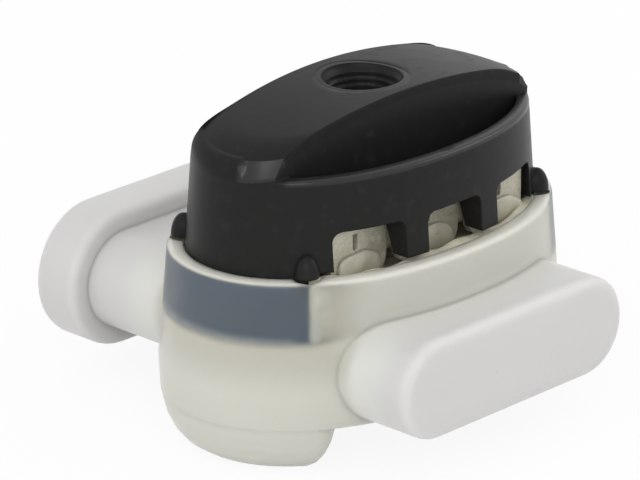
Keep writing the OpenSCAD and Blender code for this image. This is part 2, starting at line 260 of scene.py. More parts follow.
@dataclass(frozen=True)
class Finish:
    """What all the finishes share: the place on the piece, noise by its size, and normals."""

    name: str

    def place(self, graph: Graph) -> Signal:
        """The place on the piece as a vector, in metres."""
        return graph.add("ShaderNodeTexCoord").out("Object")

    def axes(self, graph: Graph, place: Signal) -> tuple[Signal, Signal, Signal]:
        """A place by its axes.

        Args:
            graph: the tree.
            place: the place vector.

        Returns:
            x, y from the ovals' middle, and z, in millimetres.
        """
        parts = graph.add("ShaderNodeSeparateXYZ", None, {"Vector": place})
        x, y, z = (parts.out(axis) * (1.0 / MM) for axis in "XYZ")
        return x, y - middle_y(), z

    def noise(self, graph: Graph, place: Signal, size: float, detail: float = 2.0) -> Signal:
        """Soft noise from 0 to 1, with lumps of a size in millimetres and finer layers over them."""
        sockets = {"Vector": place, "Scale": 1.0 / (size * MM), "Detail": detail}
        return graph.add("ShaderNodeTexNoise", None, sockets)

    def rounded(self, graph: Graph, radius: float, samples: int = 4) -> Signal:
        """A normal that rounds the edges by a radius."""
        return graph.add("ShaderNodeBevel", {"samples": samples}, {"Radius": radius * MM})

    def bump(self, graph: Graph, height: Signal, depth: float, over: Signal | None = None) -> Signal:
        """A normal from a height.

        Args:
            graph: the tree.
            height: a value of 0 to 1.
            depth: what a height of 1 stands for, in millimetres.
            over: the normal that the bump lies on, if it isn't the mesh's own.

        Returns:
            The bumped normal.
        """
        sockets = {"Height": height, "Distance": depth * MM}
        if over is not None:
            sockets["Normal"] = over
        return graph.add("ShaderNodeBump", None, sockets)

    def shade(self, graph: Graph) -> Signal:
        """The surface's shader."""
        raise NotImplementedError

    def material(self) -> bpy.types.Material:
        """Make the material, once.

        Returns:
            The material, new or already made.
        """
        made = bpy.data.materials.get(self.name)
        if made is None:
            made = bpy.data.materials.new(self.name)
            made.use_nodes = True
            graph = Graph(made.node_tree)
            graph.add("ShaderNodeOutputMaterial", None, {"Surface": self.shade(graph)})
        return made


@dataclass(frozen=True)
class FrostedPlastic(Finish):
    """Natural polypropylene: milky, and see-through only where the bowl's wall is thin.

    The gel inside bends light as the plastic does, so only the outer skin bends what is seen.
    The skin is where the bowl's level passes a value. A name that ends in _x, _y or _z is a Span of
    that place, and one in _out is a Span of the level. side_low and side_high are what the window
    loses at its bottom and its top on the long sides.
    """

    name: str = "frosted_wall"
    block_milk: Colour = (0.615, 0.61, 0.605)
    bowl_milk: Colour = (0.61, 0.605, 0.545)
    # Painted shade: the bowl's colour below the window at both ends, darkened for the shade under the
    # tongues.
    painted_under_shade: Colour = (0.52, 0.51, 0.445)
    # Painted light: the colour near the blocks' roots, lightened against the shadow in the corners where
    # they leave the bowl.
    painted_root_light: Colour = (0.68, 0.68, 0.65)
    rim_milk: Colour = (0.625, 0.617, 0.552)
    thin_milk: Colour = (0.40, 0.50, 0.60)
    bowl: Oval = Oval(15.3, 9.85)
    skin: float = 0.975
    skin_fade: float = 0.008
    block_out: Span = (1.1, 1.6)
    window_low: float = 9.3
    window_low_fade: float = 0.35
    window_high: float = 13.4
    window_high_fade: float = 0.1
    window_out: Span = (1.15, 1.09)
    long_side_y: Span = (6.5, 8.8)
    side_low: float = 0.4
    side_high: float = 0.16
    side_milk: float = 0.8
    rim_fade: float = 0.2
    under_x: Span = (9.0, 11.5)
    under_z: Span = (5.6, 8.8)
    under_fade: float = 0.3
    root_y: Span = (8.4, 9.4)
    root_z: Span = (11.5, 8.8)
    root_out: Span = (2.2, 1.4)
    thin_power: float = 6.0
    thin_share: float = 0.2
    thin_mottle: float = 0.05
    edge: float = 0.45
    root: float = 1.3
    melted_y: Span = (8.0, 9.2)
    melted_z: Span = (12.6, 11.2)
    foot_z: Span = (7.6, 6.8)
    mottle: float = 3.0
    grain: float = 0.22
    grain_detail: float = 3.0
    grain_depth: float = 0.01
    roughness: float = 0.3
    mottle_roughness: float = 0.1
    gleam: float = 0.35
    spread: float = 1.4
    blur: float = 0.32
    bend: float = 1.42

    def window(self, y: Signal, z: Signal, out: Signal) -> Signal:
        """The clear band of the bowl's wall, which is narrower and milkier on the long sides.

        Args:
            y: the place across the oval.
            z: the height.
            out: the bowl's level, which is past the window on the block and the neck.

        Returns:
            0 where the wall is all milk, to 1 where it is clear.
        """
        long_side = abs(y).step(*self.long_side_y)
        above = (z - long_side * self.side_low).about(self.window_low, self.window_low_fade)
        below = (z + long_side * self.side_high).about(self.window_high, -self.window_high_fade)
        return above * below * out.step(*self.window_out) * (1.0 - long_side * self.side_milk)

    def milk(self, graph: Graph, x: Signal, y: Signal, z: Signal, out: Signal, window: Signal) -> Signal:
        """The milk's colour from zone to zone.

        Args:
            graph: the tree.
            x: the place along the oval.
            y: the place across it.
            z: the height.
            out: the bowl's level.
            window: how clear the wall is.

        Returns:
            The colour of the bowl and its rim, with painted shade below the window at both ends for the
            shade under the tongues, whiter on the block and the neck, with painted light at their roots
            against the shadow in the corners, and bluish in the window.
        """
        colour = graph.mix(z.about(self.window_high, self.rim_fade), self.bowl_milk, self.rim_milk)
        # Painted shade: the wall below the window at both ends is darkened for the shade under the
        # tongues behind it.
        under = abs(x).step(*self.under_x) * z.step(*self.under_z)
        under = under * z.step(self.window_high, self.window_high - self.under_fade)
        colour = graph.mix(under, colour, self.painted_under_shade)
        colour = graph.mix(out.step(*self.block_out), colour, self.block_milk)
        # Painted light: near the roots on the long sides the colour is lightened to lift the shadow in
        # the corner.
        root = abs(y).step(*self.root_y) * out.step(*self.root_out) * z.step(*self.root_z)
        colour = graph.mix(root, colour, self.painted_root_light)
        return graph.mix(window ** self.thin_power, colour, self.thin_milk)

    def normal(self, graph: Graph, place: Signal, y: Signal, z: Signal) -> Signal:
        """Rounded edges under a fine grain.

        Args:
            graph: the tree.
            place: the place vector.
            y: the place across the oval.
            z: the height.

        Returns:
            The normal, rounded wider on the feet and where the block and the neck leave the bowl.
        """
        melted = (abs(y).step(*self.melted_y) * z.step(*self.melted_z)).larger(z.step(*self.foot_z))
        softened = graph.mix(melted, self.rounded(graph, self.edge), self.rounded(graph, self.root))
        grain = self.noise(graph, place, self.grain, self.grain_detail)
        return self.bump(graph, grain, self.grain_depth, softened)

    def shade(self, graph: Graph) -> Signal:
        """Milk, mixed with clear by the window.

        A lamp's rays pass the window unbent. What is seen through it is bent and blurred once, by
        the outer skin.

        Args:
            graph: the tree.

        Returns:
            The shader.
        """
        place = self.place(graph)
        x, y, z = self.axes(graph, place)
        out = self.bowl.level(x, y)
        window = self.window(y, z, out)
        outer = out.about(self.skin, self.skin_fade)
        cloud = self.noise(graph, place, self.mottle) - 0.5
        normal = self.normal(graph, place, y, z)
        body = graph.principled({
            "Base Color": self.milk(graph, x, y, z, out, window),
            "Roughness": self.roughness + cloud * self.mottle_roughness,
            "Specular IOR Level": self.gleam,
            "Subsurface Weight": 1.0,
            "Subsurface Radius": (1.0, 1.0, 1.0),
            "Subsurface Scale": self.spread * MM,
            "Normal": normal,
        })
        haze = graph.principled({
            "Base Color": grey(1.0),
            "Roughness": self.blur,
            "IOR": self.bend,
            "Transmission Weight": 1.0,
            "Normal": normal,
        })
        clear = graph.add("ShaderNodeBsdfTransparent")
        lamp_ray = graph.add("ShaderNodeLightPath").out("Is Shadow Ray")
        glass = graph.blend(outer * (1.0 - lamp_ray), clear, haze)
        thin = outer * (self.thin_share + cloud * self.thin_mottle)
        return graph.blend(1.0 - window * (1.0 - thin), glass, body)


@dataclass(frozen=True)
class BlackPlastic(Finish):
    """Semi-gloss black moulding."""

    name: str = "satin_black"
    black: Colour = (0.0145, 0.0145, 0.014)
    scuffed: Colour = (0.021, 0.021, 0.0205)
    roughness: float = 0.36
    scuff_roughness: float = 0.1
    patch_roughness: float = 0.08
    gloss_roughness: float = 0.2
    gleam: float = 0.3
    bend: float = 1.27
    port_r: float = 2.8
    port_fade: float = 0.6
    port_top: float = 22.75
    port_top_fade: float = 0.1
    port_gloss: float = 0.8
    lip_z: Span = (19.55, 19.75)
    lip_y: Span = (4.1, 4.5)
    lip_gloss: float = 0.5
    scuff: float = 0.9
    scuff_detail: float = 5.0
    scuff_from: Span = (0.52, 0.8)
    patch: float = 4.0
    peel: float = 0.5
    peel_depth: float = 0.006
    edge: float = 0.2

    def gloss(self, x: Signal, y: Signal, z: Signal) -> Signal:
        """Gloss in the test port, where the tool was polished, and on the lip, where hands rub it.

        The port's is a step of x^2 + y^2, so its fade is in square millimetres.

        Args:
            x: the place along the oval.
            y: the place across it.
            z: the height.

        Returns:
            The weight of the gloss.
        """
        square = self.port_r ** 2
        port = (x * x + y * y).step(square, square - self.port_fade)
        port = port * z.step(self.port_top, self.port_top - self.port_top_fade)
        lip = z.step(*self.lip_z) * abs(y).step(*self.lip_y)
        return (port * self.port_gloss).larger(lip * self.lip_gloss)

    def shade(self, graph: Graph) -> Signal:
        """Black with faint scuffs and patches, and orange peel.

        Args:
            graph: the tree.

        Returns:
            The shader.
        """
        place = self.place(graph)
        scuff = self.noise(graph, place, self.scuff, self.scuff_detail).step(*self.scuff_from)
        patch = self.noise(graph, place, self.patch) - 0.5
        peel = self.noise(graph, place, self.peel)
        softened = self.rounded(graph, self.edge) if self.edge > 0 else None
        return graph.principled({
            "Base Color": graph.mix(scuff, self.black, self.scuffed),
            "Coat Weight": self.gloss(*self.axes(graph, place)),
            "Coat Roughness": self.gloss_roughness,
            "Roughness": self.roughness + scuff * self.scuff_roughness + patch * self.patch_roughness,
            "IOR": self.bend,
            "Specular IOR Level": self.gleam,
            "Normal": self.bump(graph, peel, self.peel_depth, softened),
        })


@dataclass(frozen=True)
class CrownPlastic(BlackPlastic):
    """The same plastic on the crown, polished on the facets at its ends."""

    name: str = "satin_black_crown"
    edge: float = 0.0
    bend: float = 1.23
    deck: Oval = CAP_WALL.inset(FACET_W)
    facet_out: Span = (0.985, 1.0)
    facet_y: Span = (-1.225, -1.825)
    facet_gloss: float = 0.55

    def gloss(self, x: Signal, y: Signal, z: Signal) -> Signal:
        """Gloss outside a smaller oval, on the near side of each end."""
        return self.deck.level(x, y).step(*self.facet_out) * y.step(*self.facet_y) * self.facet_gloss


@dataclass(frozen=True)
class GelledBrass(Finish):
    """Tinned brass strip under a grainy skin of gel."""

    name: str = "gelled_brass"
    metal: Colour = (0.5, 0.48, 0.39)
    skin: Colour = (0.42, 0.4, 0.31)
    pale: Colour = (0.52, 0.5, 0.41)
    grain: float = 0.2
    grain_detail: float = 4.0
    grain_depth: float = 0.02
    patch: float = 1.3
    thick_grain: Span = (0.42, 0.62)
    thick_patch: Span = (0.4, 0.5)
    pale_grain: Span = (0.58, 0.7)
    pale_patch: Span = (0.4, 0.6)
    bare: float = 0.45
    hidden: float = 0.4
    roughness: float = 0.22
    patch_roughness: float = 0.25
    wet: float = 0.7
    wet_roughness: float = 0.12

    def shade(self, graph: Graph) -> Signal:
        """Gel grains over metal: pale where they are thick, metal where they are thin.

        Args:
            graph: the tree.

        Returns:
            The shader.
        """
        place = self.place(graph)
        grain = self.noise(graph, place, self.grain, self.grain_detail)
        patch = self.noise(graph, place, self.patch)
        thick = grain.step(*self.thick_grain)
        tint = graph.mix(thick, self.metal, self.skin)
        tint = graph.mix(grain.step(*self.pale_grain) * patch.step(*self.pale_patch), tint, self.pale)
        return graph.principled({
            "Base Color": tint,
            "Metallic": self.bare - thick.larger(patch.step(*self.thick_patch)) * self.hidden,
            "Roughness": self.roughness + patch * self.patch_roughness,
            "Coat Weight": thick * self.wet,
            "Coat Roughness": self.wet_roughness,
            "Normal": self.bump(graph, grain, self.grain_depth),
        })


@dataclass(frozen=True)
class SealingGel(Finish):
    """Soft cloudy gel with a wet surface."""

    name: str = "cloudy_gel"
    deep: Colour = (0.8, 0.755, 0.58)
    pale: Colour = (0.92, 0.875, 0.68)
    cloud: float = 1.6
    cloud_detail: float = 3.0
    cloud_from: Span = (0.35, 0.65)
    lump: float = 0.7
    lump_depth: float = 0.08
    roughness: float = 0.2
    cloud_roughness: float = 0.2
    clear: float = 0.1
    bend: float = 1.4
    wet: float = 0.4
    wet_roughness: float = 0.1

    def shade(self, graph: Graph) -> Signal:
        """Clouds of pale and deep gel under a gloss.

        Args:
            graph: the tree.

        Returns:
            The shader.
        """
        place = self.place(graph)
        cloud = self.noise(graph, place, self.cloud, self.cloud_detail)
        lump = self.noise(graph, place, self.lump)
        return graph.principled({
            "Base Color": graph.mix(cloud.step(*self.cloud_from), self.deep, self.pale),
            "Roughness": self.roughness + cloud * self.cloud_roughness,
            "Transmission Weight": self.clear,
            "IOR": self.bend,
            "Coat Weight": self.wet,
            "Coat Roughness": self.wet_roughness,
            "Normal": self.bump(graph, lump, self.lump_depth),
        })


@dataclass(frozen=True)
class ForkGel(SealingGel):
    """The same gel in a thin layer, in darker colours that are painted shade, for the shade behind it."""

    name: str = "fork_gel"
    # Painted shade: these colours are darker than the gel's own, for the shade behind the thin layer.
    deep: Colour = (0.47, 0.45, 0.36)
    pale: Colour = (0.56, 0.54, 0.44)
    lump_depth: float = 0.03


def ramp(value: np.ndarray, low: float, high: float) -> np.ndarray:
    """The share of the way from low to high, kept between 0 and 1."""
    return np.clip((value - low) / (high - low), 0, 1)


def wave_noise(points: np.ndarray, size: float, seed: int, layers: int = 7) -> np.ndarray:
    """Smooth lumps without a lattice.

    The sum over some layers of sin(k . p + phase), with k a random direction of length 2 pi / size
    times a spread of 0.7 to 1.4, divided by the square root of half the layers and by the usual
    height of the peaks, 1.6.

    Args:
        points: places in millimetres, with the axes last.
        size: the width of a lump and its hollow, in millimetres.
        seed: what sets the directions and phases.
        layers: how many waves are added.

    Returns:
        A height of about -1 to 1 for each point.
    """
    spread, peak = (0.7, 1.4), 1.6
    rng = np.random.default_rng(seed)
    way = rng.normal(size=(layers, 3))
    way /= np.linalg.norm(way, axis=1, keepdims=True)
    way *= (2 * np.pi / size) * rng.uniform(*spread, (layers, 1))
    phase = rng.uniform(0, 2 * np.pi, layers)
    return np.sin(points @ way.T + phase).sum(axis=-1) / math.sqrt(layers / 2) / peak


def closed_skin(name: str, rings: np.ndarray, hollow: bool = False) -> bpy.types.Object:
    """A closed surface over rings, whose first and last are closed by a fan to their middles.

    Args:
        name: the object's name.
        rings: places in millimetres, of shape (rings, points round, 3). Each ring runs anticlockwise
            seen from the last ring's side, so that the faces point outwards.
        hollow: if true, the last ring is joined to the first instead, round a hole.

    Returns:
        The object, shaded smooth.
    """
    count, around = rings.shape[:2]
    points = rings.reshape(-1, 3)
    k, i = np.meshgrid(np.arange(count if hollow else count - 1), np.arange(around), indexing="ij")
    j = (i + 1) % around
    after = (k + 1) % count
    quads = np.stack([k * around + i, k * around + j, after * around + j, after * around + i], axis=-1)
    faces = quads.reshape(-1, 4).tolist()
    if not hollow:
        points = np.concatenate([points, [rings[0].mean(axis=0), rings[-1].mean(axis=0)]])
        ring = np.arange(around)
        turned = (ring + 1) % around
        top = (count - 1) * around
        low = np.stack([np.full(around, count * around), turned, ring], axis=-1)
        high = np.stack([np.full(around, count * around + 1), top + ring, top + turned], axis=-1)
        faces += low.tolist() + high.tolist()
    mesh = bpy.data.meshes.new(name)
    mesh.from_pydata((points * MM).tolist(), [], faces)
    mesh.polygons.foreach_set("use_smooth", np.ones(len(mesh.polygons), bool))
    mesh.update()
    made = bpy.data.objects.new(name, mesh)
    bpy.context.scene.collection.objects.link(made)
    return made


def rounded_block(corner: float, around: int, rings: int) -> np.ndarray:
    """A block of half size 1 with rounded edges.

    For u round the block and v from pole to pole, x = c(u) c(v), y = s(u) c(v), z = s(v), where c
    and s are cosine and sine to the power 2 / corner with their sign kept.

    Args:
        corner: 2 for a ball, more for sharper edges.
        around: how many points lie on a ring.
        rings: how many rings there are.

    Returns:
        The rings of points.
    """
    v, u = np.meshgrid(
        np.linspace(-np.pi / 2, np.pi / 2, rings + 2)[1:-1],
        np.linspace(0, 2 * np.pi, around, endpoint=False),
        indexing="ij",
    )

    def curve(value: np.ndarray) -> np.ndarray:
        """A share of the half size, with its sign."""
        return np.sign(value) * np.abs(value) ** (2 / corner)

    x = curve(np.cos(u)) * curve(np.cos(v))
    y = curve(np.sin(u)) * curve(np.cos(v))
    return np.stack([x, y, curve(np.sin(v))], axis=-1)


def soft_edges(limit: float) -> bpy.types.NodeTree:
    """A modifier's node group that shades a mesh smooth, apart from its sharp edges.

    Args:
        limit: the angle past which an edge stays sharp, in degrees.

    Returns:
        The node group, new or already made.
    """
    name = f"soft_edges_{limit:.0f}"
    made = bpy.data.node_groups.get(name)
    if made is not None:
        return made
    made = bpy.data.node_groups.new(name, "GeometryNodeTree")
    for in_out in ("INPUT", "OUTPUT"):
        made.interface.new_socket("Mesh", in_out=in_out, socket_type="NodeSocketGeometry")
    graph = Graph(made)
    mesh = graph.add("NodeGroupInput")
    angle = graph.add("GeometryNodeInputMeshEdgeAngle")
    compare = {"data_type": "FLOAT", "operation": "LESS_EQUAL"}
    flat = graph.add("FunctionNodeCompare", compare, {0: angle, 1: math.radians(limit)})
    for domain, smooth in (("FACE", True), ("EDGE", flat)):
        sockets = {"Geometry": mesh, "Shade Smooth": smooth}
        mesh = graph.add("GeometryNodeSetShadeSmooth", {"domain": domain}, sockets)
    graph.add("NodeGroupOutput", None, {"Mesh": mesh})
    return made


def soften(piece: bpy.types.Object, limit: float) -> None:
    """Give a piece the modifier that shades it smooth, apart from edges past a limit in degrees."""
    modifier = piece.modifiers.new("soften", "NODES")
    modifier.node_group = soft_edges(limit)


def dress(piece: bpy.types.Object, finish: Finish) -> None:
    """Give a piece its finish.

    Args:
        piece: the object.
        finish: what its surface is like.
    """
    piece.data.materials.clear()
    piece.data.materials.append(finish.material())


@dataclass
class Moulding:
    """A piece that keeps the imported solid's shape, with its facets merged and shaded as one skin."""

    node: str
    finish: Finish
    slot: Slot
    merge: float = 0.002
    crease: float = 38.0
    face_weight: int = 80

    def build(self, nodes: dict[str, bpy.types.Object]) -> bpy.types.Object:
        """Merge, shade and dress the node.

        Args:
            nodes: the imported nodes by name.

        Returns:
            The dressed node.
        """
        piece = nodes[self.node]
        weld = piece.modifiers.new("merge", "WELD")
        weld.merge_threshold = self.merge * MM
        soften(piece, self.crease)
        even = piece.modifiers.new("even", "WEIGHTED_NORMAL")
        even.keep_sharp = True
        even.weight = self.face_weight
        dress(piece, self.finish)
        log.info("%s: dressed with %s", self.node, self.finish.name)
        return piece


@dataclass
class CrownSkin:
    """The crown's own rounded surface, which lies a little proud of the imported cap's plainer one.

    The fields that start with packed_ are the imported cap's own. Here y is measured from the ovals'
    middle, until the shape is done.
    """

    wall: Oval = CAP_WALL
    half_middle: float = 4.05
    half_taper: float = 0.3
    taper_reach: float = 14.07
    top_z: float = 23.29
    arc_r: float = 46.0
    shoulder: float = 3.0
    shoulder_drop: float = 0.8
    packed_z: float = 23.26
    packed_r: float = 35.0
    packed_bevel: float = 0.8
    packed_bevel_w: float = 0.75
    spare: float = 0.03
    facet_w: float = FACET_W
    facet_y: Span = (-1.4, -1.8)
    round_w: float = 0.9
    edge_near: float = 0.06
    edge_far: float = 0.35
    edge_share: float = 1.2
    edge_y: Span = (2.75, 3.75)
    edge_steps: int = 9
    deck_steps: int = 29
    deck_crowding: float = 1.3
    dish_r: float = 3.0
    dish_round: float = 0.3
    dish_steps: int = 3
    proud: float = 0.012
    sunk: float = 0.25
    foot: float = 1.1
    crease: float = 22.0
    corner_guess: float = 0.9
    corner_tries: int = 12
    side_points: int = 128
    end_points: int = 48
    finish: CrownPlastic = field(default_factory=CrownPlastic)

    def plan(self, inset_end: float, inset_side: float) -> np.ndarray:
        """The band's outline: two long sides that taper, and the cap's oval at both ends.

        A side is y = +-(half_middle - half_taper (x / taper_reach)^2 - inset_side). An end is the
        wall's oval, made smaller by inset_end. They meet at the corner where both hold, which is
        found from a first guess, a share of the oval's length, by putting one into the other.

        Args:
            inset_end: how far the ends draw in, in millimetres.
            inset_side: how far the sides draw in.

        Returns:
            The points, anticlockwise, of shape (points, 2).
        """
        oval = self.wall.inset(inset_end)

        def half(x: np.ndarray | float) -> np.ndarray | float:
            """Half the band's width at x."""
            return self.half_middle - self.half_taper * (x / self.taper_reach) ** 2 - inset_side

        corner = oval.a * self.corner_guess
        for _ in range(self.corner_tries):
            corner = oval.x_at(half(corner))
        x = np.linspace(-corner, corner, self.side_points, endpoint=False)
        side = np.column_stack([x, -half(x)])
        y = np.linspace(-half(corner), half(corner), self.end_points, endpoint=False)
        end = np.column_stack([oval.x_at(y), y])
        return np.concatenate([side, end, -side, -end])

    def height(self, plan: np.ndarray) -> np.ndarray:
        """The crown's height: an arc along x, which drops by a square law near the end walls.

        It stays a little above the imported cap's crown and bevel.

        Args:
            plan: points of the plan, with the axes last.

        Returns:
            z for each point.
        """
        x, y = plan[..., 0], plan[..., 1]
        share = self.wall.level(x, y) ** (1 / self.wall.fullness)
        inside = np.hypot(x, y) * (1 / np.maximum(share, TINY) - 1)
        near = ramp(inside, self.shoulder, 0)
        arc = self.top_z - x * x / (2 * self.arc_r) - self.shoulder_drop * near * near
        bevel = self.packed_bevel * ramp(inside, self.packed_bevel_w, 0)
        return np.maximum(arc, self.packed(plan) - bevel + self.spare)

    def packed(self, plan: np.ndarray) -> np.ndarray:
        """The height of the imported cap's crown."""
        return self.packed_z - plan[..., 0] ** 2 / (2 * self.packed_r)

    def edge_rings(self) -> list[Ring]:
        """Rings from under the outline up over its edge.

        Between the wall and the crown a point goes in by a share i and up by a share u of the edge's
        size. On the near side i and u grow evenly, which makes a flat facet with two creases. On the
        far side i = 1 - cos t and u = sin t for t from 0 to 90 degrees, which makes a rounded edge.

        The far edge is at most edge_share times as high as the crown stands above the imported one.
        An edge draws the long sides in as far as it is high, and at the ends it starts lower, at
        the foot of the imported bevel.

        Returns:
            The plan and the heights of each ring.
        """
        outer, inner = self.plan(-self.proud, -self.proud), self.plan(self.round_w, 0.0)
        packed, height = self.packed(outer), self.height(outer)
        far = np.minimum(self.edge_far, self.edge_share * np.maximum(height - packed, self.spare))
        side = np.where(outer[:, 1] < 0, self.edge_near, far)
        long_side = ramp(np.abs(inner[:, 1]), *self.edge_y)
        inner[:, 1] -= np.sign(inner[:, 1]) * side * long_side
        corner = outer[self.side_points, 0]
        end = ramp(np.abs(outer[:, 0]), corner - self.facet_w, corner)
        flat = ramp(outer[:, 1], *self.facet_y)
        facet_reach = 1 + end * (self.facet_w / self.round_w - 1)
        top = inner + (outer - inner) * (flat * (1 - facet_reach))[:, None]
        low = height - side
        low += end * (packed - self.packed_bevel - low)
        rise = self.height(top) - low
        rings = [(self.plan(self.proud, self.proud), packed - self.foot)]
        for step in np.linspace(0, 1, self.edge_steps):
            turn = step * math.pi / 2
            inwards = 1 - math.cos(turn) + flat * (facet_reach * step - 1 + math.cos(turn))
            upwards = math.sin(turn) + flat * (step - math.sin(turn))
            rings.append((outer + (inner - outer) * inwards[:, None], low + rise * upwards))
        return rings

    def deck_rings(self, top: np.ndarray) -> list[Ring]:
        """Rings across the crown, over the test port's rounded edge and back under it.

        The rings crowd towards the crown's edge, because their shares of the way are raised to a
        power. Over the port's edge a ring goes in by sin t and down by 1 - cos t of the rounding.

        Args:
            top: the plan of the edge's last ring.

        Returns:
            The plan and the heights of each ring.
        """
        angle = np.arctan2(top[:, 1], top[:, 0])
        way = np.column_stack([np.cos(angle), np.sin(angle)])
        hole = self.dish_r + self.dish_round
        rings = []
        for share in (np.arange(1, self.deck_steps + 1) / self.deck_steps) ** self.deck_crowding:
            plan = top + (way * hole - top) * share
            rings.append((plan, self.height(plan)))
        for turn in np.linspace(0, math.pi / 2, self.dish_steps + 1)[1:]:
            plan = way * (hole - (self.dish_round + self.proud) * math.sin(turn))
            rings.append((plan, self.height(plan) - self.dish_round * (1 - math.cos(turn))))
        for radius in (self.dish_r - self.proud, hole):
            plan = way * radius
            rings.append((plan, self.packed(plan) - self.dish_round - self.sunk))
        return rings

    def shape(self) -> np.ndarray:
        """Rings over the edge, across the crown, down the port's edge and back under the outline.

        Returns:
            The rings of points.
        """
        edge = self.edge_rings()
        tucked = self.plan(self.sunk, self.sunk)
        under = (tucked, self.packed(tucked) - self.foot)
        rings = [*edge, *self.deck_rings(edge[-1][0]), under]
        points = np.stack([np.column_stack(ring) for ring in rings])
        points[..., 1] += middle_y()
        return points

    def build(self) -> bpy.types.Object:
        """Make the skin, with its creases kept.

        Returns:
            The piece.
        """
        piece = closed_skin("crown_skin", self.shape(), hollow=True)
        soften(piece, self.crease)
        dress(piece, self.finish)
        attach(piece, Carrier.CAP.value)
        log.info("crown_skin: %d faces", len(piece.data.polygons))
        return piece


@dataclass
class GelMass:
    """The lumpy gel between the two rows of forks, in place of the plain solid."""

    node: str = "sealing_gel"
    inset: float = 0.12
    corner: float = 5.0
    height: float = 0.16
    sunk: float = 0.6
    rough: float = 0.5
    lump: float = 1.9
    fineness: float = 2.4
    fine_share: float = 0.5
    seeds: tuple[int, int] = (3, 5)
    around: int = 160
    rings: int = 56
    finish: SealingGel = field(default_factory=SealingGel)

    def shape(self, low: np.ndarray, high: np.ndarray) -> np.ndarray:
        """A rounded block within the solid's box, each point moved in by height (sunk + rough lumps).

        The lumps are wave noise, plus a share of a second noise that is finer.

        Args:
            low: the box's lowest corner, in millimetres.
            high: the box's highest corner.

        Returns:
            The rings of points.
        """
        half = (high - low) / 2 - self.inset
        unit = rounded_block(self.corner, self.around, self.rings)
        points = unit * half
        coarse, fine = self.seeds
        lumps = wave_noise(points, self.lump, coarse)
        lumps += self.fine_share * wave_noise(points, self.lump / self.fineness, fine)
        points -= unit * (self.height * (self.sunk + self.rough * lumps))[..., None]
        return points + (low + high) / 2

    def build(self) -> bpy.types.Object:
        """Make the gel, and hide the solid that it stands for.

        Returns:
            The piece.
        """
        low, high = (np.array(corner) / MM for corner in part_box(self.node))
        piece = closed_skin("gel_mass", self.shape(low, high))
        dress(piece, self.finish)
        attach(piece, Carrier.CAP.value)
        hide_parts(self.node)
        log.info("gel_mass: %d faces", len(piece.data.polygons))
        return piece


@dataclass
class GelSmears:
    """Gel that the cap's forks have pushed up in front of them, over their cutting slots."""

    places: Triple = (-7.05, 0.0, 7.05)
    face_y: float = 6.1
    middle_z: float = 12.9
    half: Triple = (2.0, 0.3, 1.35)
    aside: float = 0.75
    corner: float = 2.6
    lump: float = 1.5
    height: Triple = (0.015, 0.05, 0.05)
    seed: int = 21
    around: int = 72
    rings: int = 36
    finish: ForkGel = field(default_factory=ForkGel)

    def shape(self, place: float, side: int) -> np.ndarray:
        """A flat rounded block, drawn out to one side at its foot, with lumps.

        Args:
            place: the fork's x, in millimetres.
            side: -1 for the near row, 1 for the far one.

        Returns:
            The rings of points.
        """
        unit = rounded_block(self.corner, self.around, self.rings)
        points = unit * np.array(self.half)
        points[..., 0] += self.aside * (1 - unit[..., 2]) / 2
        points += np.array([place, middle_y() + side * self.face_y, self.middle_z])
        lumps = wave_noise(points, self.lump, self.seed)
        return points + unit * np.array(self.height) * lumps[..., None]

    def build(self) -> list[bpy.types.Object]:
        """Make one smear in front of each fork.

        Returns:
            The pieces.
        """
        pieces = []
        for row, side in (("near", -1), ("far", 1)):
            for number, place in enumerate(self.places, 1):
                piece = closed_skin(f"gel_smear_{row}_{number}", self.shape(place, side))
                dress(piece, self.finish)
                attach(piece, Carrier.CAP.value)
                pieces.append(piece)
        log.info("gel_smears: %d pieces", len(pieces))
        return pieces


